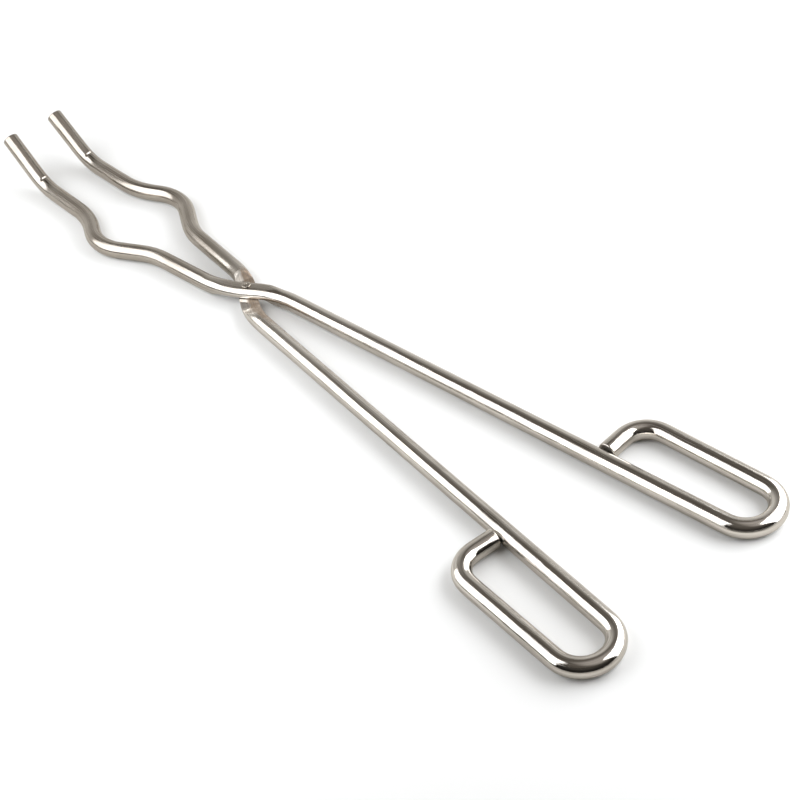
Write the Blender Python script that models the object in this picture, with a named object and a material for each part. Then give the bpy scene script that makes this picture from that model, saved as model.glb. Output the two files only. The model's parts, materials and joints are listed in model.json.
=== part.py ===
"""Crucible tongs: two bent round rods that cross and turn on one rivet.

Metres, +Z up. The tongs lie on the plane z = 0. X runs along them, from the
jaws at -X to the finger loops at +X, and the origin is under the middle of
their box. Each arm is one rod: tip, jaw, neck, shank and finger loop. Where
the rods cross they are pressed flat on the sides that meet and lie one on the
other, and the rivet goes through both.
"""

import math

import bmesh
import bpy
from mathutils import Matrix, Vector

MM = 0.001
DEG = math.pi / 180

# Rod
ROD_DIAMETER = 8.0 * MM
ROD_SIDES = 20                      # facets round the rod
END_CHAMFER = 0.4 * MM              # broken edge at both ends of each rod

# Headings of the upper arm in plan, measured from the tongs' long axis
CROSSING_ANGLE = 33.4 * DEG         # where it crosses the other arm
SHANK_ANGLE = 5.6 * DEG             # outward lean of the shank
JAW_ANGLE = 5.75 * DEG              # outward lean of the first run of the jaw

# Neck, on both sides of the pivot
NECK_BEND_RADIUS = 44.0 * MM
NECK_RUN_HANDLE = 3.7 * MM          # straight from the pivot to the bend, handle side
NECK_RUN_JAW = 0.45 * MM            # the same, jaw side

# Handle and finger loop
SHANK_LENGTH = 230.0 * MM
LOOP_INNER_WIDTH = 16.4 * MM        # clear width for a finger
LOOP_TAPER = 1.75 * DEG             # how much the loop widens towards its corner
LOOP_BACK_RUN = 47.5 * MM           # straight outer side of the loop
LOOP_CORNER_RADIUS = 11.2 * MM      # bend into the closing stub, on the rod's centre line
LOOP_SEAM = 0.4 * MM                # gap between the stub's end and the shank

# Jaw: straight run, then bend radius and outward (+) or inward (-) turn
JAW_RUN = 31.9 * MM
FLARE_RADIUS = 36.0 * MM
FLARE_ANGLE = 22.3 * DEG
BOW_RUN = 11.5 * MM
BOW_RADIUS = 25.4 * MM
BOW_ANGLE = 54.4 * DEG
WAIST_RUN = 3.5 * MM
WAIST_RADIUS = 44.0 * MM
TIP_TOE_IN = 0.8 * DEG              # the last straight run points slightly inward
NOSE_RUN = 22.8 * MM

# Tip, bent up out of the plane of the tongs
TIP_RADIUS = 27.1 * MM
TIP_ANGLE = 36.0 * DEG
TIP_RUN = 22.4 * MM
MARK_DIAMETER = 1.6 * MM            # the bending tool's mark across the inside of the tip bend
MARK_DEPTH = 0.45 * MM
MARK_ANGLE = 20.0 * DEG             # how far round the tip bend the mark lies
MARK_SIDES = 12

# Pressed lap where the rods cross
LAP_THICKNESS = 4.0 * MM
LAP_SPREAD = 1.06                   # the pressed rod is this much wider
LAP_CROWN = 3.5 * MM                # from its widest line to the small flat on its outer side
LAP_GAP = 0.3 * MM                  # running gap between the arms
LAP_LIFT = 0.1 * MM                 # the lower lap stays this far above the surface
LAP_MARGIN = 2.6 * MM               # flat that reaches past the other arm's edge
CLOSING_ANGLE = 6.0 * DEG           # how far the arms close from rest, for the lap's length
SHOULDER_STEEP = 3.0 * MM           # end of the press on the lower arm, towards its jaw
SHOULDER_MEDIUM = 8.0 * MM          # end of the press on the upper arm, towards its handle
SHOULDER_LONG = 15.0 * MM           # gradual end of the press, at the other two places

# Rivet
RIVET_DIAMETER = 3.0 * MM
RIVET_CLEARANCE = 0.2 * MM          # all round the shank, and over the countersink
RIVET_HEAD_OVERHANG = 0.65 * MM     # head beyond the shank, all round
RIVET_HEAD_HEIGHT = 0.75 * MM
RIVET_HEAD_GAP = 0.2 * MM           # head above the upper lap
RIVET_HEAD_EDGE = 0.35 * MM         # height of the head's upright rim
DIMPLE_DIAMETER = 1.1 * MM
DIMPLE_DEPTH = 0.3 * MM
TAIL_OVERHANG = 0.8 * MM            # countersunk tail beyond the shank, at its widest
TAIL_DEPTH = 0.8 * MM
TAIL_RECESS = 0.1 * MM              # tail's face inside the lower lap's face
RIVET_SIDES = 32
DOME_STEPS = 4                      # rings from the dimple to the head's rim

# Spacing of the rings of vertices along a rod
BEND_STEP = 9.0 * DEG
NECK_STEP = 1.3 * MM

ROD_RADIUS = ROD_DIAMETER / 2
RIVET_RADIUS = RIVET_DIAMETER / 2
HEAD_RADIUS = RIVET_RADIUS + RIVET_HEAD_OVERHANG
TAIL_RADIUS = RIVET_RADIUS + TAIL_OVERHANG
CORNER_RADIUS = ROD_RADIUS / math.cos(math.pi / ROD_SIDES)     # facets stay on the rod's radius
LAP_HALF_LENGTH = ROD_RADIUS * LAP_SPREAD / math.tan(CROSSING_ANGLE - CLOSING_ANGLE / 2) + LAP_MARGIN

LOWER_LAP_BOTTOM = -ROD_RADIUS + LAP_LIFT
LOWER_LAP_TOP = LOWER_LAP_BOTTOM + LAP_THICKNESS
UPPER_LAP_BOTTOM = LOWER_LAP_TOP + LAP_GAP
UPPER_LAP_TOP = UPPER_LAP_BOTTOM + LAP_THICKNESS

# Bottom, top and widest line of each arm's section in the lap
UPPER_LAP = (UPPER_LAP_BOTTOM, UPPER_LAP_TOP, UPPER_LAP_TOP - LAP_CROWN)
LOWER_LAP = (LOWER_LAP_BOTTOM, LOWER_LAP_TOP, LOWER_LAP_BOTTOM + LAP_CROWN)

OUTWARD = 1                         # turns of the upper arm in plan, seen from above
INWARD = -1


def clear_scene():
    for item in list(bpy.data.objects):
        bpy.data.objects.remove(item, do_unlink=True)


def metal(name, colour, roughness):
    """A Principled metal."""
    material = bpy.data.materials.new(name)
    material.use_nodes = True
    shader = material.node_tree.nodes["Principled BSDF"]
    shader.inputs["Base Color"].default_value = (*colour, 1.0)
    shader.inputs["Roughness"].default_value = roughness
    shader.inputs["Metallic"].default_value = 1.0
    return material


def add_object(name, mesh, parent=None):
    item = bpy.data.objects.new(name, mesh)
    bpy.context.scene.collection.objects.link(item)
    item.parent = parent
    return item


def mesh_from(bm, name):
    """Close a bmesh into a mesh with its faces pointing out."""
    bmesh.ops.recalc_face_normals(bm, faces=bm.faces)
    mesh = bpy.data.meshes.new(name)
    bm.to_mesh(mesh)
    bm.free()
    return mesh


# Centre line of a rod

def distances(travelled, length, coarse):
    """Where rings go along a length: closely near the pivot, at most `coarse` apart beyond."""
    fine_end = LAP_HALF_LENGTH + SHOULDER_LONG
    fine = min(max(fine_end - travelled, 0.0), length)
    marks = []
    if fine > 0:
        count = math.ceil(fine / NECK_STEP)
        marks += [fine * (i + 1) / count for i in range(count)]
    if length > fine:
        count = math.ceil((length - fine) / coarse)
        marks += [fine + (length - fine) * (i + 1) / count for i in range(count)]
    return marks


def bend_rod(heading, moves):
    """Rings (point, ahead, up, distance) from the pivot through straight runs and bends.

    A move is (run,) or (radius, turn, axis): axis "plan" turns left seen from
    above, axis "lift" turns up.
    """
    point = Vector((0.0, 0.0, 0.0))
    ahead = Vector((math.cos(heading), math.sin(heading), 0.0))
    up = Vector((0.0, 0.0, 1.0))
    travelled = 0.0
    rings = [(point, ahead, up, travelled)]
    for move in moves:
        if len(move) == 1:
            run = move[0]
            for d in distances(travelled, run, run):
                rings.append((point + ahead * d, ahead, up, travelled + d))
            point = point + ahead * run
            travelled += run
            continue
        radius, turn, axis = move
        spin = up if axis == "plan" else ahead.cross(up)
        spin = spin * math.copysign(1.0, turn)
        centre = point + spin.cross(ahead) * radius
        length = radius * abs(turn)
        start = (point, ahead, up)
        for d in distances(travelled, length, radius * BEND_STEP):
            rotation = Matrix.Rotation(d / radius, 3, spin)
            point = centre + rotation @ (start[0] - centre)
            ahead = rotation @ start[1]
            up = rotation @ start[2]
            rings.append((point, ahead, up, travelled + d))
        travelled += length
    return rings


def loop_radius():
    """End bend of the finger loop, on the rod's centre line."""
    return (LOOP_INNER_WIDTH + ROD_DIAMETER) / 2


def stub_length():
    """From the loop's corner to the seam beside the shank."""
    radius = loop_radius()
    offset = radius + radius * math.cos(LOOP_TAPER) + LOOP_BACK_RUN * math.sin(LOOP_TAPER)
    return offset - LOOP_CORNER_RADIUS * math.cos(LOOP_TAPER) - CORNER_RADIUS - LOOP_SEAM


def handle_moves():
    return [
        (NECK_RUN_HANDLE,),
        (NECK_BEND_RADIUS, INWARD * (CROSSING_ANGLE - SHANK_ANGLE), "plan"),
        (SHANK_LENGTH,),
        (loop_radius(), OUTWARD * (math.pi - LOOP_TAPER), "plan"),
        (LOOP_BACK_RUN,),
        (LOOP_CORNER_RADIUS, OUTWARD * (math.pi / 2 + LOOP_TAPER), "plan"),
        (stub_length(),),
    ]


def jaw_moves():
    waist_angle = BOW_ANGLE - FLARE_ANGLE - JAW_ANGLE - TIP_TOE_IN
    return [
        (NECK_RUN_JAW,),
        (NECK_BEND_RADIUS, INWARD * (CROSSING_ANGLE - JAW_ANGLE), "plan"),
        (JAW_RUN,),
        (FLARE_RADIUS, OUTWARD * FLARE_ANGLE, "plan"),
        (BOW_RUN,),
        (BOW_RADIUS, INWARD * BOW_ANGLE, "plan"),
        (WAIST_RUN,),
        (WAIST_RADIUS, OUTWARD * waist_angle, "plan"),
        (NOSE_RUN,),
        (TIP_RADIUS, TIP_ANGLE, "lift"),
        (TIP_RUN,),
    ]


def centre_line():
    """All rings of the upper arm, from the tip to the end of the loop's stub.

    The distance along the rod is negative on the jaw side.
    """
    jaw = bend_rod(math.pi + CROSSING_ANGLE, jaw_moves())
    handle = bend_rod(CROSSING_ANGLE, handle_moves())
    jaw = [(point, -ahead, up, -distance) for point, ahead, up, distance in jaw]
    return jaw[:0:-1] + handle


# Section of a rod

def smoothstep(x):
    x = min(max(x, 0.0), 1.0)
    return x * x * (3 - 2 * x)


def mix(a, b, share):
    return a + (b - a) * share


def press_share(distance, jaw_shoulder, handle_shoulder):
    """1 on the flat of the lap, falling to 0 over the shoulder on each side."""
    shoulder = jaw_shoulder if distance < 0 else handle_shoulder
    return 1 - smoothstep((abs(distance) - LAP_HALF_LENGTH) / shoulder)


def section(share, lap, inset):
    """(sideways, upward) corners: round where share is 0, pressed to the lap's heights where it is 1."""
    bottom, top, widest = lap
    corner = CORNER_RADIUS - inset
    lowest = mix(inset - ROD_RADIUS, bottom, share)
    highest = mix(ROD_RADIUS - inset, top, share)
    middle = mix(0.0, widest, share)
    spread = mix(1.0, LAP_SPREAD, share)
    corners = []
    for i in range(ROD_SIDES):
        angle = 2 * math.pi * (i + 0.5) / ROD_SIDES
        height = min(max(middle + corner * math.sin(angle), lowest), highest)
        corners.append((corner * spread * math.cos(angle), height))
    return corners


def arm_mesh(name, rings, lap, jaw_shoulder, handle_shoulder):
    """Sweep the rod's section along its centre line and close both ends."""
    first, last = rings[0], rings[-1]
    tip_face = (first[0], first[1], first[2], first[3], END_CHAMFER)
    stub_face = (last[0], last[1], last[2], last[3], END_CHAMFER)
    tip_edge = (first[0] + first[1] * END_CHAMFER, *first[1:], 0.0)
    stub_edge = (last[0] - last[1] * END_CHAMFER, *last[1:], 0.0)
    inner = [(*ring, 0.0) for ring in rings[1:-1]]
    bm = bmesh.new()
    loops = []
    for point, ahead, up, distance, inset in [tip_face, tip_edge, *inner, stub_edge, stub_face]:
        side = up.cross(ahead)
        share = press_share(distance, jaw_shoulder, handle_shoulder)
        corners = section(share, lap, inset)
        loops.append([bm.verts.new(point + side * s + up * u) for s, u in corners])
    for near, far in zip(loops, loops[1:]):
        for i in range(ROD_SIDES):
            j = (i + 1) % ROD_SIDES
            bm.faces.new((near[i], near[j], far[j], far[i]))
    bm.faces.new(loops[0])
    bm.faces.new(loops[-1])
    return mesh_from(bm, name)


# Turned shapes and cutters

def turned_mesh(name, profile):
    """Spin an (radius, height) profile, closed on the Z axis, through a full turn."""
    bm = bmesh.new()
    corners = [bm.verts.new((radius, 0.0, height)) for radius, height in profile]
    edges = [bm.edges.new(pair) for pair in zip(corners, corners[1:])]
    bmesh.ops.spin(bm, geom=corners + edges, cent=(0, 0, 0), axis=(0, 0, 1),
                   angle=2 * math.pi, steps=RIVET_SIDES, use_duplicate=False)
    bmesh.ops.remove_doubles(bm, verts=bm.verts, dist=0.001 * MM)
    return mesh_from(bm, name)


def cut(target, cutter):
    """Take the cutter out of the target."""
    cutter.hide_render = True
    cutter.display_type = "WIRE"
    boolean = target.modifiers.new(cutter.name, "BOOLEAN")
    boolean.operation = "DIFFERENCE"
    boolean.solver = "EXACT"
    boolean.object = cutter


def pivot_cutter(name, bottom, top, sink_face, parent):
    """Hole for the rivet, with a countersink below where sink_face is given."""
    hole = RIVET_RADIUS + RIVET_CLEARANCE
    past = LAP_THICKNESS
    profile = [(0.0, top + past), (hole, top + past)]
    if sink_face is None:
        profile += [(hole, bottom - past), (0.0, bottom - past)]
    else:
        sink = TAIL_RADIUS + RIVET_CLEARANCE
        profile += [(hole, sink_face + TAIL_DEPTH + RIVET_CLEARANCE), (sink, sink_face + RIVET_CLEARANCE),
                    (sink, bottom - past), (0.0, bottom - past)]
    return add_object(name, turned_mesh(name, profile), parent)


def mark_cutter(name, side_sign, parent):
    """A thin bar across the inside of the tip bend, for the bending tool's mark."""
    moves = jaw_moves()[:-2] + [(TIP_RADIUS, MARK_ANGLE, "lift")]
    point, ahead, up, _ = bend_rod(math.pi + CROSSING_ANGLE, moves)[-1]
    centre = point + up * (ROD_RADIUS + MARK_DIAMETER / 2 - MARK_DEPTH)
    across = ahead.cross(up)
    bm = bmesh.new()
    turn = Vector((0, 0, 1)).rotation_difference(across).to_matrix().to_4x4()
    bmesh.ops.create_cone(bm, cap_ends=True, segments=MARK_SIDES, radius1=MARK_DIAMETER / 2,
                          radius2=MARK_DIAMETER / 2, depth=2 * ROD_DIAMETER,
                          matrix=Matrix.Translation(centre) @ turn)
    if side_sign < 0:
        bmesh.ops.scale(bm, vec=(1, -1, 1), verts=bm.verts)
    return add_object(name, mesh_from(bm, name), parent)


# Pieces

def make_upper_arm(parent):
    mesh = arm_mesh("upper_arm", centre_line(), UPPER_LAP, SHOULDER_LONG, SHOULDER_MEDIUM)
    arm = add_object("upper_arm", mesh, parent)
    cut(arm, pivot_cutter("upper_hole_cutter", UPPER_LAP_BOTTOM, UPPER_LAP_TOP, None, parent))
    cut(arm, mark_cutter("upper_mark_cutter", 1, parent))
    arm.data.materials.append(metal("upper_arm_nickel", (0.66, 0.63, 0.58), 0.20))
    return arm


def make_lower_arm(parent):
    """The upper arm's plan mirrored, with its lap pressed down instead of up."""
    mirrored = [(Vector((p.x, -p.y, p.z)), Vector((a.x, -a.y, a.z)), Vector((u.x, -u.y, u.z)), d)
                for p, a, u, d in centre_line()]
    mesh = arm_mesh("lower_arm", mirrored, LOWER_LAP, SHOULDER_STEEP, SHOULDER_LONG)
    arm = add_object("lower_arm", mesh, parent)
    tail_face = LOWER_LAP_BOTTOM + TAIL_RECESS
    cut(arm, pivot_cutter("lower_hole_cutter", LOWER_LAP_BOTTOM, LOWER_LAP_TOP, tail_face, parent))
    cut(arm, mark_cutter("lower_mark_cutter", -1, parent))
    arm.data.materials.append(metal("lower_arm_nickel", (0.62, 0.58, 0.52), 0.24))
    return arm


def rivet_profile():
    """Head with a dimple, shank and countersunk tail, from the top down."""
    seat = UPPER_LAP_TOP + RIVET_HEAD_GAP
    top = seat + RIVET_HEAD_HEIGHT
    dimple = DIMPLE_DIAMETER / 2
    face = LOWER_LAP_BOTTOM + TAIL_RECESS
    profile = [(0.0, top - DIMPLE_DEPTH), (dimple * 0.7, top - DIMPLE_DEPTH * 0.7), (dimple, top)]
    for i in range(1, DOME_STEPS + 1):
        share = i / DOME_STEPS
        radius = mix(dimple, HEAD_RADIUS, share)
        profile.append((radius, top - (RIVET_HEAD_HEIGHT - RIVET_HEAD_EDGE) * share * share))
    profile += [(HEAD_RADIUS, seat), (RIVET_RADIUS, seat), (RIVET_RADIUS, face + TAIL_DEPTH),
                (TAIL_RADIUS, face), (0.0, face)]
    return profile


def make_rivet(parent):
    rivet = add_object("pivot_rivet", turned_mesh("pivot_rivet", rivet_profile()), parent)
    rivet.data.materials.append(metal("rivet_steel", (0.50, 0.47, 0.42), 0.35))
    return rivet


def place_frame(frame, arms):
    """Put the middle of the tongs' box over the origin and their underside on z = 0."""
    xs = [vertex.co.x for arm in arms for vertex in arm.data.vertices]
    frame.location = (-(min(xs) + max(xs)) / 2, 0.0, ROD_RADIUS)


def main():
    clear_scene()
    pivot = add_object("pivot_axis", None)
    arms = [make_upper_arm(pivot), make_lower_arm(pivot)]
    pieces = arms + [make_rivet(pivot)]
    place_frame(pivot, arms)
    for piece in pieces:
        piece.data.shade_smooth()
        piece.data.set_sharp_from_angle(angle=35 * DEG)
    bpy.context.view_layer.update()


main()
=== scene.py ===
"""Crucible tongs: two bent nickel-plated rods on one rivet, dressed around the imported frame.

Metres, +Z up, in the frame's own axes: the jaws are at -X, the finger loops at +X,
and the tongs lie on z = 0.
"""

import json
import math

import bmesh
import bpy
from mathutils import Matrix, Vector


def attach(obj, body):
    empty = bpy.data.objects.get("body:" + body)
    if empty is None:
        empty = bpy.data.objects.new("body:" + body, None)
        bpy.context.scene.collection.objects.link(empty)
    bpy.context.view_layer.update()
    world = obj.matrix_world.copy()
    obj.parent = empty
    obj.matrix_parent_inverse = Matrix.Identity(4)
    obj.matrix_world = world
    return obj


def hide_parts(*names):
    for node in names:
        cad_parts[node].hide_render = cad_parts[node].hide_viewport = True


MM = 0.001
DEG = math.pi / 180

# Rod
ROD_RADIUS = 4.0 * MM
ROD_SIDES = 72
EDGE_RADIUS = 0.5 * MM              # rounding of the cut ends
EDGE_STEPS = 5
EDGE_CLEAR = EDGE_RADIUS * 1.5      # the rod's own rings stop this far from its ends
END_DISC_INSET = EDGE_RADIUS * 1.3  # margin round the flat disc that closes an end
CUT_INSET = EDGE_RADIUS * 0.8       # from the rod's side to where its end looks fully cut

# Headings of the upper arm
CROSSING_ANGLE = 33.4 * DEG
SHANK_ANGLE = 5.6 * DEG
JAW_ANGLE = 5.75 * DEG

# Neck
NECK_BEND_RADIUS = 44.0 * MM
NECK_RUN_HANDLE = 3.7 * MM
NECK_RUN_JAW = 0.45 * MM

# Handle and finger loop
SHANK_LENGTH = 230.0 * MM
LOOP_RADIUS = 12.2 * MM
LOOP_TAPER = 1.75 * DEG
LOOP_BACK_RUN = 47.5 * MM
LOOP_CORNER_RADIUS = 11.2 * MM
LOOP_SEAM = 0.45 * MM

# Jaw
JAW_RUN = 31.9 * MM
FLARE_RADIUS = 36.0 * MM
FLARE_ANGLE = 22.3 * DEG
BOW_RUN = 11.5 * MM
BOW_RADIUS = 25.4 * MM
BOW_ANGLE = 54.4 * DEG
WAIST_RUN = 3.5 * MM
WAIST_RADIUS = 44.0 * MM
TIP_TOE_IN = 0.8 * DEG
NOSE_RUN = 22.8 * MM
TIP_RADIUS = 27.1 * MM
TIP_ANGLE = 36.0 * DEG
TIP_RUN = 22.4 * MM
MARK_ANGLE = 20.0 * DEG             # how far round the tip bend the bending tool's nick lies
MARK_DEPTH = 0.58 * MM
MARK_WIDTH = 0.68 * MM              # half width of the nick along the rod
MARK_SPREAD = 50.0 * DEG            # half width of the nick round the rod

# Pressed lap
LAP_SPREAD = 1.06
LAP_HALF_LENGTH = 9.9 * MM
LAP_EDGE = 0.5 * MM                 # softness of the pressed edges
UPPER_LAP = (0.4 * MM, 4.4 * MM, 0.9 * MM)      # bottom, top and widest line of the section
LOWER_LAP = (-3.9 * MM, 0.1 * MM, -0.4 * MM)
SHOULDER_STEEP = 3.0 * MM
SHOULDER_MEDIUM = 8.0 * MM
SHOULDER_LONG = 15.0 * MM

# Rivet and its holes, heights from the rods' centre plane
HOLE_RADIUS = 1.7 * MM
UPPER_CUTTER = (8.0 * MM, -1.0 * MM)            # top and bottom of what is taken out for the hole
LOWER_CUTTER = (1.0 * MM, -6.0 * MM)
SHANK_RADIUS = 1.5 * MM
HEAD_RADIUS = 2.15 * MM
HEAD_SEAT = 4.6 * MM
HEAD_TOP = 5.35 * MM
HEAD_EDGE = 4.95 * MM
DOME_STEPS = 6
DOME_INSET = 0.12 * MM              # the dome ends this far inside the head's side
RIM_INSET = 0.03 * MM
RIM_DROP = 0.1 * MM                 # height of each step of the head's rounded rim
DIMPLE_RADIUS = 0.55 * MM
DIMPLE_DEPTH = 0.3 * MM
# Middle outwards, in shares of the radius and of the depth
DIMPLE_PROFILE = ((0.0, 1.0), (0.45, 0.93), (0.8, 0.55), (1.0, 0.15), (1.15, 0.0))
TAIL_RADIUS = 2.3 * MM
TAIL_FACE = -3.8 * MM
TAIL_TOP = -3.0 * MM
CLEARANCE = 0.2 * MM
RIVET_SIDES = 96
WELD = 0.0005 * MM                  # corners nearer than this become one

# Walk along a rod's centre line
STEP = 0.25 * MM
BEND_BLEND = 5.0 * MM               # length over which a bend eases in
BLEND_SAMPLES = 9

# A ring of vertices comes after this many steps, or sooner in a bend
STEPS_AT_MARK = 1
STEPS_AT_LAP = 2
STEPS_ELSEWHERE = 20
RING_TURN = 2.2 * DEG
MARK_REACH = 4 * MARK_WIDTH
LAP_REACH = LAP_HALF_LENGTH + SHOULDER_LONG + 1.0 * MM

SHARP_ANGLE = 40.0 * DEG            # edges sharper than this aren't smoothed

# Colours of the nickel
CLEAN = (0.77, 0.74, 0.70, 1)       # bright
DULL = (0.45, 0.42, 0.38, 1)        # handled, slightly tarnished
JAW = (0.45, 0.41, 0.365, 1)        # greyed by heat
FLAT = (0.47, 0.43, 0.385, 1)       # pressed
BROWN = (0.13, 0.075, 0.035, 1)     # rust and heat stain
RUST = (0.24, 0.145, 0.065, 1)      # brighter spots in the stain
CUT = (0.42, 0.40, 0.38, 1)         # sheared end of the rod
PIT = (0.05, 0.04, 0.03, 1)

# Patterns in the nickel: features per metre (sideways, upwards, along the rod), detail, roughness
STREAKS = ((1500, 1500, 14), 4.0, 0.65)
FINE_STREAKS = ((5200, 5200, 60), 2.0, 0.5)
BLOTCHES = ((90, 90, 45), 3.0, 0.55)
GRAIN = ((1800, 1800, 1500), 3.0, 0.6)
RINGS = ((160, 160, 2600), 2.0, 0.55)
MOTTLE = ((520, 520, 380), 6.0, 0.72)
FRECKLES = ((750, 750, 420), 3.0, 0.6)
PITS_PER_METRE = (110, 110, 60)

# Where something begins and where it is full, along the rod from the pivot; the handle is at +
JAW_ALONG = (-12.0 * MM, -45.0 * MM)
STAIN_ALONG_HANDLE = (46.0 * MM, 18.0 * MM)
STAIN_ALONG_JAW = (-18.0 * MM, -11.0 * MM)
FLAT_ALONG = (13.5 * MM, 9.5 * MM)              # to both sides, as is the next
FRECKLES_ALONG = (60.0 * MM, 15.0 * MM)
WORN_MIDDLE = -11.5 * MM                        # worn end of the press, on the lower arm
WORN_ALONG = (3.0 * MM, 1.8 * MM)

# The same, across the rod
FLAT_HEIGHT = (2.2 * MM, 3.4 * MM)
STAIN_HEIGHT = (0.2 * MM, -1.5 * MM)
STAIN_SIDEWAYS = (-0.45, 0.25)                  # in rod radii

# The same, in the strength of a pattern, with what it starts from and comes to if not 0 and 1
BLOTCHES_DULL = (0.42, 0.72)
STREAKS_DULL = (0.44, 0.62)
BLOTCHES_ON_JAW = (0.2, 0.75, 0.55, 1.0)
BLOTCHES_WITH_PITS = (0.56, 0.6)
MOTTLE_ON_UPPER = (0.46, 0.64)
MOTTLE_ON_LOWER = (0.34, 0.62, 0.45, 1.0)
FRECKLES_SHOWN = (0.66, 0.74)
STAIN_SHOWN = (0.03, 0.72)
GRAIN_RUSTY = (0.4, 0.62)
PIT_SHOWN = (0.05, 0.03)                        # in distances from a pit's middle, a cell being 1
STREAKS_ROUGH = (0.50, 0.68, 0.06, 0.24)

# How much of each goes into the dullness, the colour, the roughness and the relief
DULL_FROM_BLOTCHES = 0.45
DULL_FROM_STREAKS = 0.60
FLAT_COLOURED = 0.75
FRECKLES_STAINED = 0.6
STAIN_COLOURED = 0.72
STAIN_UNMETAL = 0.30
ROUGH_DULL = 0.10
ROUGH_JAW = 0.03
ROUGH_JAW_GRAIN = 0.07
ROUGH_FLAT = 0.2
ROUGH_STAIN = 0.35
ROUGH_CUT = 0.25
ROUGH_WORN = 0.5
RELIEF_UNIT = 0.0035 * MM
RELIEF_FINE_STREAKS = 1.6                       # in relief units, as are the next
RELIEF_STREAKS = 12.0
RELIEF_JAW_GRAIN = 4.0
RELIEF_JAW_RINGS = 2.0
RELIEF_PIT = -30.0
RELIEF_STAIN = 5.0

# Steel of the rivet
RIVET_BRIGHT = (0.66, 0.62, 0.56, 1)
RIVET_DULL = (0.42, 0.38, 0.33, 1)
RIVET_DARKER = (0.16, 0.13, 0.10, 1)             # darker colour laid in the dimple and round the rim
RIVET_GRAIN = ((2500, 2500, 2500), 3.0, 0.6)
RIVET_PATCHES = ((700, 700, 700), 3.0, 0.6)
PATCHES_DULL = (0.35, 0.7)
GRAIN_ROUGH = (0.3, 0.7, 0.2, 0.38)
DIMPLE_DARKENED = (DIMPLE_RADIUS * 1.1, DIMPLE_RADIUS * 0.6)
RIM_DARKENED = (HEAD_RADIUS * 0.93, HEAD_RADIUS)
DARKENING_SHARE = 0.8
RIVET_RELIEF = 0.01 * MM

# Floor
FLOOR_SIZE = 30.0
PAPER = (0.845, 0.86, 0.87, 1)
PAPER_REFLECTED_PAINTED_SHADE = (0.62, 0.605, 0.575, 1)       # painted shade: the paper as the metal mirrors it, darker than it is seen
PAPER_ROUGHNESS = 0.9
PAPER_SPECULAR = 0.1
GLOW_REACH = (0.26, 0.66, 0.0, 0.80)            # metres from the origin, then the glow that is seen

# Lamps: name, centre, facing, width, height, radiance, whether reflections show it
LAMPS = (
    ("left_box", (-0.154, -0.223, 0.238), (0.13, 0.88, -0.458), 0.60, 0.40, 2.5, True),
    ("right_box", (0.227, 0.420, 0.256), (-0.553, -0.639, -0.534), 0.80, 0.48, 4.2, True),
    ("back_box", (-0.62, 0.52, 0.50), (0.22, -0.27, -0.50), 0.90, 0.60, 1.0, False),
)

# Studio around the tongs: colours by the sine of the height above the horizon
WALL_HEADING = 150 * DEG            # of the light wall's middle
WALL_SPREAD = (0.15, 0.6)           # cosines from its middle where it begins and is full
WALL_COLOURS = (
    (0.0, (0.62, 0.60, 0.57, 1)),
    (0.35, (0.66, 0.64, 0.60, 1)),
    (0.58, (0.42, 0.40, 0.37, 1)),
    (0.80, (0.13, 0.115, 0.10, 1)),
    (1.0, (0.11, 0.10, 0.09, 1)),
)
ROOM_COLOURS = ((0.35, (0.02, 0.018, 0.016, 1)), (0.9, (0.13, 0.115, 0.10, 1)))
HAZE_HEADING = 50 * DEG             # of a soft bright patch on the ceiling
HAZE_HEIGHT = 68 * DEG
HAZE_SPREAD = (0.80, 0.97)
HAZE_COLOUR = (0.42, 0.39, 0.36, 1)
BACKDROP = (0.95, 0.95, 0.95, 1)    # what the camera sees beyond the floor

# Camera
CAMERA_PLACE = Vector((0.48792, -0.29703, 0.46138))
CAMERA_TARGET = Vector((0.06401, -0.00251, 0.004))
CAMERA_ROLL = -10.005 * DEG
CAMERA_LENS = 75.256
CAMERA_SENSOR = 36.0


# Centre line of a rod

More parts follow.
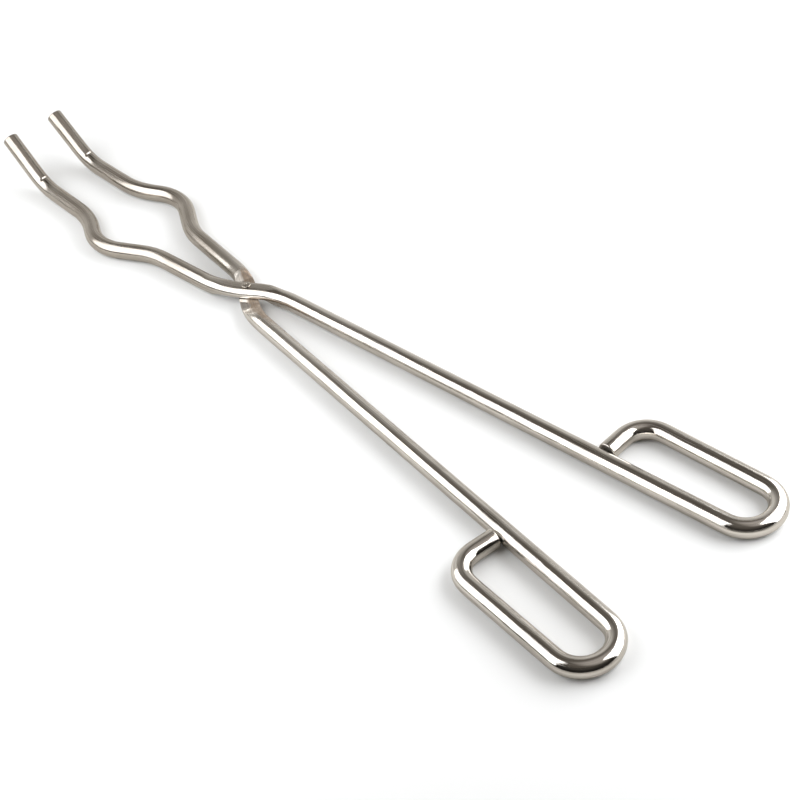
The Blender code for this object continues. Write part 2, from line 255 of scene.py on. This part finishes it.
def breakpoints():
    """(distance, heading, lift) along the upper arm, from the tip to the end of the stub."""
    offset = LOOP_RADIUS * (1 + math.cos(LOOP_TAPER)) + LOOP_BACK_RUN * math.sin(LOOP_TAPER)
    stub = offset - LOOP_CORNER_RADIUS * math.cos(LOOP_TAPER) - ROD_RADIUS - LOOP_SEAM
    handle = [
        (NECK_RUN_HANDLE, 0.0, 0.0),
        (NECK_BEND_RADIUS * (CROSSING_ANGLE - SHANK_ANGLE), SHANK_ANGLE - CROSSING_ANGLE, 0.0),
        (SHANK_LENGTH, 0.0, 0.0),
        (LOOP_RADIUS * (math.pi - LOOP_TAPER), math.pi - LOOP_TAPER, 0.0),
        (LOOP_BACK_RUN, 0.0, 0.0),
        (LOOP_CORNER_RADIUS * (math.pi / 2 + LOOP_TAPER), math.pi / 2 + LOOP_TAPER, 0.0),
        (stub, 0.0, 0.0),
    ]
    waist = BOW_ANGLE - FLARE_ANGLE - JAW_ANGLE - TIP_TOE_IN
    jaw = [
        (NECK_RUN_JAW, 0.0, 0.0),
        (NECK_BEND_RADIUS * (CROSSING_ANGLE - JAW_ANGLE), JAW_ANGLE - CROSSING_ANGLE, 0.0),
        (JAW_RUN, 0.0, 0.0),
        (FLARE_RADIUS * FLARE_ANGLE, FLARE_ANGLE, 0.0),
        (BOW_RUN, 0.0, 0.0),
        (BOW_RADIUS * BOW_ANGLE, -BOW_ANGLE, 0.0),
        (WAIST_RUN, 0.0, 0.0),
        (WAIST_RADIUS * waist, waist, 0.0),
        (NOSE_RUN, 0.0, 0.0),
        (TIP_RADIUS * TIP_ANGLE, 0.0, TIP_ANGLE),
        (TIP_RUN, 0.0, 0.0),
    ]
    points = [(0.0, CROSSING_ANGLE, 0.0)]
    for length, turn, lift in handle:
        distance, heading, pitch = points[-1]
        points.append((distance + length, heading + turn, pitch + lift))
    for length, turn, lift in jaw:
        distance, heading, pitch = points[0]
        points.insert(0, (distance - length, heading + turn, pitch + lift))
    return points


def angles_at(points, distance):
    """Heading and lift at a distance, linear between the breakpoints."""
    if distance <= points[0][0]:
        return points[0][1], points[0][2]
    for near, far in zip(points, points[1:]):
        if distance <= far[0]:
            share = (distance - near[0]) / (far[0] - near[0])
            return near[1] + (far[1] - near[1]) * share, near[2] + (far[2] - near[2]) * share
    return points[-1][1], points[-1][2]


def eased_angles(points, distance):
    """The same, averaged over a short length so that bends ease in and out."""
    total_heading, total_lift = 0.0, 0.0
    for i in range(BLEND_SAMPLES):
        offset = BEND_BLEND * ((i + 0.5) / BLEND_SAMPLES - 0.5)
        heading, lift = angles_at(points, distance + offset)
        total_heading += heading
        total_lift += lift
    return total_heading / BLEND_SAMPLES, total_lift / BLEND_SAMPLES


def direction(heading, lift):
    """Ahead along the rod, where lift points it down."""
    level = math.cos(lift)
    return Vector((math.cos(heading) * level, math.sin(heading) * level, -math.sin(lift)))


def upward(heading, lift):
    """Square to direction, in the same upright plane."""
    level = math.sin(lift)
    return Vector((math.cos(heading) * level, math.sin(heading) * level, math.cos(lift)))


def centre_line():
    """[(distance, point, ahead, up)] every STEP, from the tip to the end of the stub."""
    points = breakpoints()
    walks = []
    for end in (points[0][0], points[-1][0]):
        count = round(abs(end) / STEP)
        step = end / count
        place = Vector((0.0, 0.0, 0.0))
        walk = []
        for i in range(count + 1):
            distance = step * i
            angles = eased_angles(points, distance)
            walk.append((distance, place.copy(), direction(*angles), upward(*angles)))
            place += direction(*eased_angles(points, distance + step / 2)) * step
        walks.append(walk)
    return walks[0][:0:-1] + walks[1]


def mark_place():
    """Distance of the nick, part of the way round the tip bend that starts at the third breakpoint."""
    points = breakpoints()
    return points[2][0] - TIP_RADIUS * MARK_ANGLE


def ring_stations(line):
    """Steps of the walk that carry a ring: close where the rod bends, is pressed or is nicked."""
    mark = mark_place()
    chosen = [0]
    for i, (distance, _, ahead, _) in enumerate(line):
        limit = STEPS_ELSEWHERE
        if abs(distance) < LAP_REACH:
            limit = STEPS_AT_LAP
        if abs(distance - mark) < MARK_REACH:
            limit = STEPS_AT_MARK
        turned = ahead.angle(line[chosen[-1]][2], 0.0)
        if i - chosen[-1] >= limit or turned > RING_TURN or i == len(line) - 1:
            chosen.append(i)
    return chosen


# Section of a rod

def smoothstep(x):
    x = min(max(x, 0.0), 1.0)
    return x * x * (3 - 2 * x)


def mix(a, b, share):
    return a + (b - a) * share


def press_share(distance, jaw_shoulder, handle_shoulder):
    """1 on the flat of the lap, falling to 0 over the shoulder on each side."""
    shoulder = jaw_shoulder if distance < 0 else handle_shoulder
    return 1 - smoothstep((abs(distance) - LAP_HALF_LENGTH) / shoulder)


def soft_between(value, lowest, highest, softness):
    """value held between two limits, with a rounded corner at each."""
    if softness <= 0:
        return min(max(value, lowest), highest)
    above = max(softness - abs(value - highest), 0.0) / softness
    value = min(value, highest) - above * above * softness / 4
    below = max(softness - abs(value - lowest), 0.0) / softness
    return max(value, lowest) + below * below * softness / 4


def section(distance, share, lap, inset, mark):
    """(sideways, upward, angle) round the rod: round where share is 0, pressed flat where it is 1."""
    bottom, top, widest = lap
    radius = ROD_RADIUS - inset
    lowest = mix(-radius - LAP_EDGE, bottom, share) if share > 0 else -radius
    highest = mix(radius + LAP_EDGE, top, share) if share > 0 else radius
    middle = mix(0.0, widest, share)
    spread = mix(1.0, LAP_SPREAD, share)
    softness = LAP_EDGE if share > 0 else 0.0
    nick_along = math.exp(-((distance - mark) / MARK_WIDTH) ** 2)
    corners = []
    for i in range(ROD_SIDES):
        angle = 2 * math.pi * (i + 0.5) / ROD_SIDES
        off_top = abs(angle - math.pi / 2) / MARK_SPREAD
        nick = MARK_DEPTH * nick_along * (1 - smoothstep(off_top))
        height = soft_between(middle + radius * math.sin(angle), lowest, highest, softness)
        corners.append((radius * spread * math.cos(angle), height - nick, angle))
    return corners


def mesh_from(bm, name):
    """Close a bmesh into a mesh with its faces pointing out, moved to the pivot."""
    bmesh.ops.recalc_face_normals(bm, faces=bm.faces)
    mesh = bpy.data.meshes.new(name)
    bm.to_mesh(mesh)
    bm.free()
    mesh.transform(Matrix.Translation(PIVOT))
    return mesh


def arm_mesh(name, mirror, lap, jaw_shoulder, handle_shoulder):
    """The swept rod. mirror is 1 for the upper arm and -1 for the lower one."""
    line = centre_line()
    mark = mark_place()
    rings = [(*line[i], 0.0) for i in ring_stations(line)]
    first, last = rings[0], rings[-1]
    tip = [(*first[:4], END_DISC_INSET)]
    stub = [(*last[:4], END_DISC_INSET)]
    for k in range(EDGE_STEPS + 1):
        angle = math.pi / 2 * k / EDGE_STEPS
        inset = EDGE_RADIUS * (1 - math.sin(angle))
        back = EDGE_RADIUS * (1 - math.cos(angle))
        for ends, ring, sign in ((tip, first, 1), (stub, last, -1)):
            ends.append((ring[0] + sign * back, ring[1] + ring[2] * sign * back, ring[2], ring[3], inset))
    inner = [ring for ring in rings if first[0] + EDGE_CLEAR < ring[0] < last[0] - EDGE_CLEAR]
    bm = bmesh.new()
    straight = bm.verts.layers.float_vector.new("straight")
    cut_face = bm.verts.layers.float.new("cut_face")
    loops = []
    for distance, *axes, inset in [*tip, *inner, *reversed(stub)]:
        place, ahead, up = [Vector((v.x, v.y * mirror, v.z)) for v in axes]
        side = up.cross(ahead)
        share = press_share(distance, jaw_shoulder, handle_shoulder)
        loop = []
        for across, above, angle in section(distance, share, lap, inset, mark):
            vert = bm.verts.new(place + side * across + up * above)
            vert[straight] = Vector((ROD_RADIUS * math.cos(angle), ROD_RADIUS * math.sin(angle), distance))
            vert[cut_face] = min(inset / CUT_INSET, 1.0)
            loop.append(vert)
        loops.append(loop)
    for near, far in zip(loops, loops[1:]):
        for i in range(ROD_SIDES):
            j = (i + 1) % ROD_SIDES
            bm.faces.new((near[i], near[j], far[j], far[i]))
    bm.faces.new(loops[0])
    bm.faces.new(loops[-1])
    return mesh_from(bm, name)


# Turned shapes

def turned_mesh(name, profile):
    """Spin an (radius, height) profile, closed on the pivot's axis, through a full turn."""
    bm = bmesh.new()
    corners = [bm.verts.new((radius, 0.0, height)) for radius, height in profile]
    edges = [bm.edges.new(pair) for pair in zip(corners, corners[1:])]
    bmesh.ops.spin(bm, geom=corners + edges, cent=(0, 0, 0), axis=(0, 0, 1),
                   angle=2 * math.pi, steps=RIVET_SIDES, use_duplicate=False)
    bmesh.ops.remove_doubles(bm, verts=bm.verts, dist=WELD)
    return mesh_from(bm, name)


def upper_hole():
    """Straight through the upper lap."""
    top, bottom = UPPER_CUTTER
    return [(0.0, top), (HOLE_RADIUS, top), (HOLE_RADIUS, bottom), (0.0, bottom)]


def lower_hole():
    """Through the lower lap, with a countersink for the rivet's tail."""
    top, bottom = LOWER_CUTTER
    sink = TAIL_RADIUS + CLEARANCE
    return [(0.0, top), (HOLE_RADIUS, top), (HOLE_RADIUS, TAIL_TOP + CLEARANCE),
            (sink, TAIL_FACE + CLEARANCE), (sink, bottom), (0.0, bottom)]


def rivet_profile():
    """Dimple, domed head, shank and countersunk tail, from the top down."""
    profile = [(DIMPLE_RADIUS * out, HEAD_TOP - DIMPLE_DEPTH * down) for out, down in DIMPLE_PROFILE]
    dome_start = profile[-1][0]
    for i in range(1, DOME_STEPS + 1):
        share = i / DOME_STEPS
        radius = mix(dome_start, HEAD_RADIUS - DOME_INSET, share)
        profile.append((radius, HEAD_TOP - (HEAD_TOP - HEAD_EDGE - RIM_DROP) * share ** 2))
    profile += [(HEAD_RADIUS - RIM_INSET, HEAD_EDGE), (HEAD_RADIUS, HEAD_EDGE - RIM_DROP),
                (HEAD_RADIUS, HEAD_SEAT), (SHANK_RADIUS, HEAD_SEAT), (SHANK_RADIUS, TAIL_TOP),
                (TAIL_RADIUS, TAIL_FACE), (0.0, TAIL_FACE)]
    return profile


def add_object(name, data):
    item = bpy.data.objects.new(name, data)
    bpy.context.scene.collection.objects.link(item)
    return item


def cut(target, cutter):
    """Take the cutter out of the target's mesh and drop the cutter."""
    boolean = target.modifiers.new("cut", "BOOLEAN")
    boolean.operation = "DIFFERENCE"
    boolean.solver = "EXACT"
    boolean.object = cutter
    bpy.context.view_layer.update()
    evaluated = target.evaluated_get(bpy.context.evaluated_depsgraph_get())
    mesh = bpy.data.meshes.new_from_object(evaluated)
    target.modifiers.clear()
    target.data = mesh
    bpy.data.objects.remove(cutter, do_unlink=True)


def smooth(item, angle):
    item.data.shade_smooth()
    item.data.set_sharp_from_angle(angle=angle)


# The frame and the pieces

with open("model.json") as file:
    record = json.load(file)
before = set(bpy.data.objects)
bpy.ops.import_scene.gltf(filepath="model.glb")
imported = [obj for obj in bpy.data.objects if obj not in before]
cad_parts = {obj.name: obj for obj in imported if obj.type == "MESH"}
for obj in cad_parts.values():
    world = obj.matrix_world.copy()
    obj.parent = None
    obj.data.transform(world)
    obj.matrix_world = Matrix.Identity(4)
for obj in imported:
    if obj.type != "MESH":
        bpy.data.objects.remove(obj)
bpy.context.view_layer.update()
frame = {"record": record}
PIVOT = Vector(frame["record"]["behaviour"]["joints"][0]["pos_m"])

upper = add_object("upper_arm_rod", arm_mesh("upper_arm_rod", 1, UPPER_LAP, SHOULDER_LONG, SHOULDER_MEDIUM))
lower = add_object("lower_arm_rod", arm_mesh("lower_arm_rod", -1, LOWER_LAP, SHOULDER_STEEP, SHOULDER_LONG))
cut(upper, add_object("hole", turned_mesh("hole", upper_hole())))
cut(lower, add_object("hole", turned_mesh("hole", lower_hole())))
rivet = add_object("rivet", turned_mesh("rivet", rivet_profile()))

for piece, body, node, slot in (
    (upper, "upper", "upper_arm", "upper_arm_nickel"),
    (lower, "lower", "lower_arm", "lower_arm_nickel"),
    (rivet, "lower", "pivot_rivet", "rivet_steel"),
):
    smooth(piece, SHARP_ANGLE)
    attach(piece, body)
    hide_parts(node)


# Materials

class Shading:
    """The node tree of a material or a world, filled in step by step."""

    def __init__(self, owner, shader="Principled BSDF"):
        self.owner = owner
        owner.use_nodes = True
        self.tree = owner.node_tree
        self.shader = self.tree.nodes[shader]

    def put(self, socket, value):
        """Link a socket to another node's output, or set its value."""
        if isinstance(value, bpy.types.NodeSocket):
            self.tree.links.new(value, socket)
        else:
            socket.default_value = value

    def shade(self, name, value):
        self.put(self.shader.inputs[name], value)

    def node(self, kind, inputs, **settings):
        made = self.tree.nodes.new("ShaderNode" + kind)
        for name, value in settings.items():
            setattr(made, name, value)
        for key, value in inputs.items():
            self.put(made.inputs[key], value)
        return made

    def attribute(self, name, output):
        return self.node("Attribute", {}, attribute_name=name).outputs[output]

    def math(self, operation, a, b=0.0, clamp=False):
        return self.node("Math", {0: a, 1: b}, operation=operation, use_clamp=clamp).outputs[0]

    def times(self, a, b):
        return self.math("MULTIPLY", a, b)

    def plus(self, start, *parts, clamp=False):
        """start, with each part's value times its amount added."""
        for value, amount in parts:
            start = self.math("ADD", start, self.times(value, amount), clamp)
        return start

    def vector(self, operation, a, b, output=0):
        return self.node("VectorMath", {0: a, 1: b}, operation=operation).outputs[output]

    def ramp(self, value, low, high, to_low=0.0, to_high=1.0):
        """Smooth step of value from low to high."""
        inputs = {"Value": value, "From Min": low, "From Max": high, "To Min": to_low, "To Max": to_high}
        return self.node("MapRange", inputs, interpolation_type="SMOOTHSTEP").outputs[0]

    def colour_ramp(self, value, stops):
        """Colour at value, linear between (position, colour) stops."""
        made = self.node("ValToRGB", {"Fac": value})
        elements = made.color_ramp.elements
        for element, stop in ((elements[0], stops[0]), (elements[1], stops[-1])):
            element.position, element.color = stop
        for position, colour in stops[1:-1]:
            elements.new(position).color = colour
        return made.outputs[0]

    def stretched(self, place, scale):
        return self.vector("MULTIPLY", place, scale)

    def noise(self, place, pattern):
        scale, detail, roughness = pattern
        inputs = {"Vector": self.stretched(place, scale), "Scale": 1.0}
        inputs.update({"Detail": detail, "Roughness": roughness})
        return self.node("TexNoise", inputs).outputs["Fac"]

    def mix(self, share, a, b):
        return self.node("Mix", {0: share, 6: a, 7: b}, data_type="RGBA").outputs[2]

    def bump(self, height, distance):
        return self.node("Bump", {"Strength": 1.0, "Distance": distance, "Height": height}).outputs[0]


def nickel(name, stain_side):
    """Nickel plate on a drawn rod.

    stain_side is the side of the neck that has rusted: -1 on the upper arm and
    +1 on the lower one. The layer "straight" holds each point's place on the
    rod before bending: sideways, upwards and along.
    """
    on_upper = stain_side < 0
    made = Shading(bpy.data.materials.new(name))
    straight = made.attribute("straight", "Vector")
    cut_face = made.attribute("cut_face", "Fac")
    split = made.node("SeparateXYZ", {0: straight})
    sideways, height, along = split.outputs["X"], split.outputs["Y"], split.outputs["Z"]
    from_pivot = made.math("ABSOLUTE", along)
    jaw = made.ramp(along, *JAW_ALONG)
    lap = made.ramp(from_pivot, *FLAT_ALONG)

    streaks = made.noise(straight, STREAKS)
    fine_streaks = made.noise(straight, FINE_STREAKS)
    blotches = made.noise(straight, BLOTCHES)
    grain = made.noise(straight, GRAIN)
    rings = made.noise(straight, RINGS)
    mottle = made.noise(straight, MOTTLE)
    freckles = made.noise(straight, FRECKLES)
    cells = made.node("TexVoronoi", {"Vector": made.stretched(straight, PITS_PER_METRE), "Scale": 1.0})

    dull = made.times(made.ramp(blotches, *BLOTCHES_DULL), DULL_FROM_BLOTCHES)
    dull = made.plus(dull, (made.ramp(streaks, *STREAKS_DULL), DULL_FROM_STREAKS), clamp=True)
    colour = made.mix(dull, CLEAN, DULL)
    colour = made.mix(made.times(jaw, made.ramp(blotches, *BLOTCHES_ON_JAW)), colour, JAW)
    flat = made.times(lap, made.ramp(height, *FLAT_HEIGHT)) if on_upper else 0.0
    colour = made.mix(made.times(flat, FLAT_COLOURED), colour, FLAT)

    side = made.times(sideways, stain_side / ROD_RADIUS)
    near_neck = made.times(made.ramp(along, *STAIN_ALONG_HANDLE), made.ramp(along, *STAIN_ALONG_JAW))
    low = made.ramp(height, *STAIN_HEIGHT) if on_upper else 1.0
    on_side = made.times(made.ramp(side, *STAIN_SIDEWAYS), low)
    patch = made.ramp(mottle, *(MOTTLE_ON_UPPER if on_upper else MOTTLE_ON_LOWER))
    stain = made.times(made.times(near_neck, on_side), patch)
    spots = made.times(made.ramp(freckles, *FRECKLES_SHOWN), made.ramp(from_pivot, *FRECKLES_ALONG))
    stain = made.math("MAXIMUM", stain, made.times(spots, FRECKLES_STAINED))
    stain = made.ramp(stain, *STAIN_SHOWN)
    rust = made.mix(made.ramp(grain, *GRAIN_RUSTY), BROWN, RUST)
    colour = made.mix(made.times(stain, STAIN_COLOURED), colour, rust)

    pit = made.ramp(cells.outputs["Distance"], *PIT_SHOWN)
    pit = made.times(pit, made.ramp(blotches, *BLOTCHES_WITH_PITS))
    colour = made.mix(pit, colour, PIT)
    made.shade("Base Color", made.mix(cut_face, colour, CUT))

    jaw_grain = made.times(jaw, grain)
    roughness = made.plus(made.ramp(streaks, *STREAKS_ROUGH), (dull, ROUGH_DULL), (jaw, ROUGH_JAW),
                          (jaw_grain, ROUGH_JAW_GRAIN), (flat, ROUGH_FLAT), (stain, ROUGH_STAIN),
                          (cut_face, ROUGH_CUT), clamp=True)
    if not on_upper:
        from_worn = made.math("ABSOLUTE", made.math("SUBTRACT", along, WORN_MIDDLE))
        worn = made.times(made.ramp(from_worn, *WORN_ALONG), ROUGH_WORN)
        roughness = made.math("MAXIMUM", roughness, worn)
    made.shade("Roughness", roughness)
    made.shade("Metallic", made.math("SUBTRACT", 1.0, made.times(stain, STAIN_UNMETAL)))

    relief = made.times(made.math("SUBTRACT", fine_streaks, 0.5), RELIEF_FINE_STREAKS)
    relief = made.plus(relief, (streaks, RELIEF_STREAKS), (jaw_grain, RELIEF_JAW_GRAIN),
                       (made.times(jaw, rings), RELIEF_JAW_RINGS), (pit, RELIEF_PIT),
                       (made.times(stain, grain), RELIEF_STAIN))
    made.shade("Normal", made.bump(relief, RELIEF_UNIT))
    return made.owner


def rivet_steel():
    """Worn steel, darker in the dimple and round the rim of the head."""
    made = Shading(bpy.data.materials.new("rivet_steel"))
    place = made.node("TexCoord", {}).outputs["Object"]
    centred = made.vector("SUBTRACT", place, tuple(PIVOT))
    split = made.node("SeparateXYZ", {0: centred})
    squares = [made.math("POWER", split.outputs[i], 2.0) for i in (0, 1)]
    radius = made.math("SQRT", made.math("ADD", *squares))
    grain = made.noise(centred, RIVET_GRAIN)
    patches = made.noise(centred, RIVET_PATCHES)
    colour = made.mix(made.ramp(patches, *PATCHES_DULL), RIVET_BRIGHT, RIVET_DULL)
    # Darker towards the middle of the dimple and towards the rim of the head.
    darkening = made.math("MAXIMUM", made.ramp(radius, *DIMPLE_DARKENED), made.ramp(radius, *RIM_DARKENED))
    made.shade("Base Color", made.mix(made.times(darkening, DARKENING_SHARE), colour, RIVET_DARKER))
    made.shade("Metallic", 1.0)
    made.shade("Roughness", made.ramp(grain, *GRAIN_ROUGH))
    made.shade("Normal", made.bump(grain, RIVET_RELIEF))
    return made.owner


upper.data.materials.append(nickel("upper_arm_nickel", -1))
lower.data.materials.append(nickel("lower_arm_nickel", 1))
rivet.data.materials.append(rivet_steel())


# Floor, light and camera

def plane(name, size):
    bm = bmesh.new()
    bmesh.ops.create_grid(bm, x_segments=1, y_segments=1, size=size / 2)
    mesh = bpy.data.meshes.new(name)
    bm.to_mesh(mesh)
    bm.free()
    return add_object(name, mesh)


def paper():
    """White paper. Far out it glows for the camera, and the metal mirrors it darker, which is painted
    shade.
    """
    made = Shading(bpy.data.materials.new("paper"))
    rays = made.node("LightPath", {})
    # Painted shade: glossy rays see the paper in a darker colour, so the rods mirror a shaded floor.
    made.shade("Base Color", made.mix(rays.outputs["Is Glossy Ray"], PAPER, PAPER_REFLECTED_PAINTED_SHADE))
    made.shade("Roughness", PAPER_ROUGHNESS)
    made.shade("Specular IOR Level", PAPER_SPECULAR)
    place = made.node("NewGeometry", {}).outputs["Position"]
    reach = made.node("VectorMath", {0: place}, operation="LENGTH").outputs["Value"]
    made.shade("Emission Color", (1, 1, 1, 1))
    glow = made.times(made.ramp(reach, *GLOW_REACH), rays.outputs["Is Camera Ray"])
    made.shade("Emission Strength", glow)
    return made.owner


def soft_box(name, centre, facing, width, height, radiance, mirrored):
    """A rectangular lamp that shines along facing, and that the camera doesn't see."""
    data = bpy.data.lights.new(name, "AREA")
    data.shape = "RECTANGLE"
    data.size = width
    data.size_y = height
    data.energy = radiance * width * height * math.pi
    lamp = add_object(name, data)
    turn = Vector(facing).to_track_quat("-Z", "Y").to_matrix().to_4x4()
    lamp.matrix_world = Matrix.Translation(centre) @ turn
    lamp.visible_camera = False
    lamp.visible_glossy = mirrored


def studio():
    """A dark room with one light wall and a hazy patch above, behind a white backdrop."""
    made = Shading(bpy.data.worlds.new("studio"), "Background")
    sky = made.node("TexCoord", {}).outputs["Generated"]
    rise = made.node("SeparateXYZ", {0: sky}).outputs["Z"]
    towards_wall = made.vector("DOT_PRODUCT", sky, direction(WALL_HEADING, 0.0), "Value")
    wall = made.ramp(towards_wall, *WALL_SPREAD)
    colour = made.mix(wall, made.colour_ramp(rise, ROOM_COLOURS), made.colour_ramp(rise, WALL_COLOURS))
    towards_haze = made.vector("DOT_PRODUCT", sky, direction(HAZE_HEADING, -HAZE_HEIGHT), "Value")
    colour = made.mix(made.ramp(towards_haze, *HAZE_SPREAD), colour, HAZE_COLOUR)
    seen = made.node("LightPath", {}).outputs["Is Camera Ray"]
    made.shade("Color", made.mix(seen, colour, BACKDROP))
    return made.owner


floor = plane("floor", FLOOR_SIZE)
floor.data.materials.append(paper())

for lamp in LAMPS:
    soft_box(*lamp)

bpy.context.scene.world = studio()

camera_data = bpy.data.cameras.new("camera")
camera_data.sensor_width = CAMERA_SENSOR
camera_data.lens = CAMERA_LENS
camera = add_object("camera", camera_data)
aim = (CAMERA_TARGET - CAMERA_PLACE).to_track_quat("-Z", "Y").to_matrix().to_4x4()
camera.matrix_world = Matrix.Translation(CAMERA_PLACE) @ aim @ Matrix.Rotation(CAMERA_ROLL, 4, "Z")
bpy.context.scene.camera = camera
bpy.context.scene.view_settings.view_transform = "Standard"
